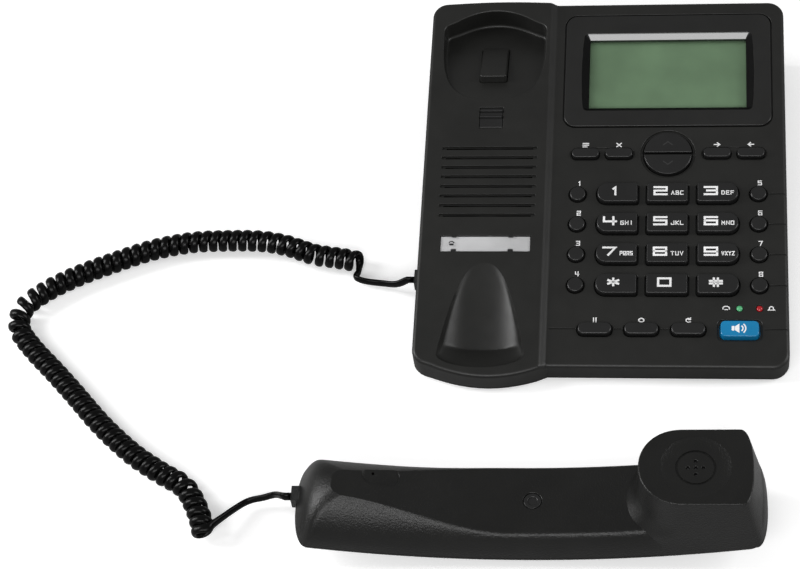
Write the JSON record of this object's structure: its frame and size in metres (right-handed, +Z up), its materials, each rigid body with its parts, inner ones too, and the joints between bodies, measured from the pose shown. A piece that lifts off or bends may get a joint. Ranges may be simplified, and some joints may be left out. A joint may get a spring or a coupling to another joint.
{
  "type": "corded desk telephone with caller display",
  "caption": "Wedge-shaped corded desk telephone with a grey-green display, press keys and its handset laid on the desk in front on a curly cord.",
  "frame": {"origin": "on the desk, under the middle of the box round the base unit and the handset", "axes": "+X to the right of someone using the telephone, +Y away from them, +Z up"},
  "size_m": [0.3868, 0.3085, 0.0502],
  "materials": {
    "black_plastic": "fine-grained satin black",
    "bezel_plastic": "smooth glossy black frame",
    "clear_plastic": "clear moulded plastic",
    "display_green": "unlit grey-green display",
    "board_green": "solder-masked board",
    "mat_rubber": "grey silicone",
    "foot_rubber": "matt black rubber",
    "blue_plastic": "translucent-looking blue",
    "green_lens": "clear tinted green",
    "red_lens": "clear tinted red",
    "white_card": "white paper card",
    "speaker_steel": "plated steel frame",
    "cord_black": "glossy black cord jacket"
  },
  "bodies": {
    "base": {"top_housing": "black_plastic", "bottom_housing": "black_plastic", "foot_front_left": "foot_rubber", "foot_back_left": "foot_rubber", "foot_front_right": "foot_rubber", "foot_back_right": "foot_rubber", "display_bezel": "bezel_plastic", "display_lens": "clear_plastic", "lcd_panel": "display_green", "main_board": "board_green", "keypad_mat": "mat_rubber", "led_in_use": "green_lens", "led_ring": "red_lens", "index_card": "white_card", "index_cover": "clear_plastic", "loudspeaker": "speaker_steel", "handset_jack": "black_plastic", "line_jack": "black_plastic", "plug_base": "clear_plastic", "cord_tail_base": "cord_black", "cord_tail_handset": "cord_black", "curly_cord": "cord_black"},
    "key_1": {"key_1": "black_plastic"},
    "key_2": {"key_2": "black_plastic"},
    "key_3": {"key_3": "black_plastic"},
    "key_4": {"key_4": "black_plastic"},
    "key_5": {"key_5": "black_plastic"},
    "key_6": {"key_6": "black_plastic"},
    "key_7": {"key_7": "black_plastic"},
    "key_8": {"key_8": "black_plastic"},
    "key_9": {"key_9": "black_plastic"},
    "key_star": {"key_star": "black_plastic"},
    "key_0": {"key_0": "black_plastic"},
    "key_hash": {"key_hash": "black_plastic"},
    "memory_button_left_1": {"memory_button_left_1": "black_plastic"},
    "memory_button_left_2": {"memory_button_left_2": "black_plastic"},
    "memory_button_left_3": {"memory_button_left_3": "black_plastic"},
    "memory_button_left_4": {"memory_button_left_4": "black_plastic"},
    "memory_button_right_1": {"memory_button_right_1": "black_plastic"},
    "memory_button_right_2": {"memory_button_right_2": "black_plastic"},
    "memory_button_right_3": {"memory_button_right_3": "black_plastic"},
    "memory_button_right_4": {"memory_button_right_4": "black_plastic"},
    "menu_key_1": {"menu_key_1": "black_plastic"},
    "menu_key_2": {"menu_key_2": "black_plastic"},
    "menu_key_3": {"menu_key_3": "black_plastic"},
    "menu_key_4": {"menu_key_4": "black_plastic"},
    "function_key_1": {"function_key_1": "black_plastic"},
    "function_key_2": {"function_key_2": "black_plastic"},
    "function_key_3": {"function_key_3": "black_plastic"},
    "speaker_key": {"speaker_key": "blue_plastic"},
    "nav_up": {"nav_up": "black_plastic"},
    "nav_down": {"nav_down": "black_plastic"},
    "hook_switch": {"hook_switch": "black_plastic"},
    "hanger_tab": {"hanger_tab": "black_plastic"},
    "handset": {"handset_face": "black_plastic", "handset_back": "black_plastic", "receiver_capsule": "speaker_steel", "microphone_capsule": "speaker_steel", "screw_cap": "black_plastic", "plug_handset": "clear_plastic"}
  },
  "joints": [
    {"name": "key_1_press", "type": "slide", "parent": "base", "child": "key_1", "axis": [0, 0.1736, -0.9848], "range_m": [0, 0.0015], "stiffness_N_per_m": 400},
    {"name": "key_2_press", "type": "slide", "parent": "base", "child": "key_2", "axis": [0, 0.1736, -0.9848], "range_m": [0, 0.0015], "stiffness_N_per_m": 400},
    {"name": "key_3_press", "type": "slide", "parent": "base", "child": "key_3", "axis": [0, 0.1736, -0.9848], "range_m": [0, 0.0015], "stiffness_N_per_m": 400},
    {"name": "key_4_press", "type": "slide", "parent": "base", "child": "key_4", "axis": [0, 0.1736, -0.9848], "range_m": [0, 0.0015], "stiffness_N_per_m": 400},
    {"name": "key_5_press", "type": "slide", "parent": "base", "child": "key_5", "axis": [0, 0.1736, -0.9848], "range_m": [0, 0.0015], "stiffness_N_per_m": 400},
    {"name": "key_6_press", "type": "slide", "parent": "base", "child": "key_6", "axis": [0, 0.1736, -0.9848], "range_m": [0, 0.0015], "stiffness_N_per_m": 400},
    {"name": "key_7_press", "type": "slide", "parent": "base", "child": "key_7", "axis": [0, 0.1736, -0.9848], "range_m": [0, 0.0015], "stiffness_N_per_m": 400},
    {"name": "key_8_press", "type": "slide", "parent": "base", "child": "key_8", "axis": [0, 0.1736, -0.9848], "range_m": [0, 0.0015], "stiffness_N_per_m": 400},
    {"name": "key_9_press", "type": "slide", "parent": "base", "child": "key_9", "axis": [0, 0.1736, -0.9848], "range_m": [0, 0.0015], "stiffness_N_per_m": 400},
    {"name": "key_star_press", "type": "slide", "parent": "base", "child": "key_star", "axis": [0, 0.1736, -0.9848], "range_m": [0, 0.0015], "stiffness_N_per_m": 400},
    {"name": "key_0_press", "type": "slide", "parent": "base", "child": "key_0", "axis": [0, 0.1736, -0.9848], "range_m": [0, 0.0015], "stiffness_N_per_m": 400},
    {"name": "key_hash_press", "type": "slide", "parent": "base", "child": "key_hash", "axis": [0, 0.1736, -0.9848], "range_m": [0, 0.0015], "stiffness_N_per_m": 400},
    {"name": "memory_button_left_1_press", "type": "slide", "parent": "base", "child": "memory_button_left_1", "axis": [0, 0.1736, -0.9848], "range_m": [0, 0.0015], "stiffness_N_per_m": 400},
    {"name": "memory_button_left_2_press", "type": "slide", "parent": "base", "child": "memory_button_left_2", "axis": [0, 0.1736, -0.9848], "range_m": [0, 0.0015], "stiffness_N_per_m": 400},
    {"name": "memory_button_left_3_press", "type": "slide", "parent": "base", "child": "memory_button_left_3", "axis": [0, 0.1736, -0.9848], "range_m": [0, 0.0015], "stiffness_N_per_m": 400},
    {"name": "memory_button_left_4_press", "type": "slide", "parent": "base", "child": "memory_button_left_4", "axis": [0, 0.1736, -0.9848], "range_m": [0, 0.0015], "stiffness_N_per_m": 400},
    {"name": "memory_button_right_1_press", "type": "slide", "parent": "base", "child": "memory_button_right_1", "axis": [0, 0.1736, -0.9848], "range_m": [0, 0.0015], "stiffness_N_per_m": 400},
    {"name": "memory_button_right_2_press", "type": "slide", "parent": "base", "child": "memory_button_right_2", "axis": [0, 0.1736, -0.9848], "range_m": [0, 0.0015], "stiffness_N_per_m": 400},
    {"name": "memory_button_right_3_press", "type": "slide", "parent": "base", "child": "memory_button_right_3", "axis": [0, 0.1736, -0.9848], "range_m": [0, 0.0015], "stiffness_N_per_m": 400},
    {"name": "memory_button_right_4_press", "type": "slide", "parent": "base", "child": "memory_button_right_4", "axis": [0, 0.1736, -0.9848], "range_m": [0, 0.0015], "stiffness_N_per_m": 400},
    {"name": "menu_key_1_press", "type": "slide", "parent": "base", "child": "menu_key_1", "axis": [0, 0.1736, -0.9848], "range_m": [0, 0.0015], "stiffness_N_per_m": 400},
    {"name": "menu_key_2_press", "type": "slide", "parent": "base", "child": "menu_key_2", "axis": [0, 0.1736, -0.9848], "range_m": [0, 0.0015], "stiffness_N_per_m": 400},
    {"name": "menu_key_3_press", "type": "slide", "parent": "base", "child": "menu_key_3", "axis": [0, 0.1736, -0.9848], "range_m": [0, 0.0015], "stiffness_N_per_m": 400},
    {"name": "menu_key_4_press", "type": "slide", "parent": "base", "child": "menu_key_4", "axis": [0, 0.1736, -0.9848], "range_m": [0, 0.0015], "stiffness_N_per_m": 400},
    {"name": "function_key_1_press", "type": "slide", "parent": "base", "child": "function_key_1", "axis": [0, 0.1736, -0.9848], "range_m": [0, 0.0015], "stiffness_N_per_m": 400},
    {"name": "function_key_2_press", "type": "slide", "parent": "base", "child": "function_key_2", "axis": [0, 0.1736, -0.9848], "range_m": [0, 0.0015], "stiffness_N_per_m": 400},
    {"name": "function_key_3_press", "type": "slide", "parent": "base", "child": "function_key_3", "axis": [0, 0.1736, -0.9848], "range_m": [0, 0.0015], "stiffness_N_per_m": 400},
    {"name": "speaker_key_press", "type": "slide", "parent": "base", "child": "speaker_key", "axis": [0, 0.1736, -0.9848], "range_m": [0, 0.0015], "stiffness_N_per_m": 400},
    {"name": "nav_up_press", "type": "slide", "parent": "base", "child": "nav_up", "axis": [0, 0.1736, -0.9848], "range_m": [0, 0.0015], "stiffness_N_per_m": 400},
    {"name": "nav_down_press", "type": "slide", "parent": "base", "child": "nav_down", "axis": [0, 0.1736, -0.9848], "range_m": [0, 0.0015], "stiffness_N_per_m": 400},
    {"name": "hook_switch_press", "type": "slide", "parent": "base", "child": "hook_switch", "axis": [0, -0.1098, -0.994], "range_m": [0, 0.0042], "stiffness_N_per_m": 200},
    {"name": "hanger_tab_pull", "type": "slide", "parent": "base", "child": "hanger_tab", "axis": [0, -0.1736, 0.9848], "range_m": [0, 0.008]},
    {"name": "handset_lift", "type": "slide", "parent": "base", "child": "handset", "axis": [0, 0, 1], "range_m": [0, 0.15]}
  ]
}
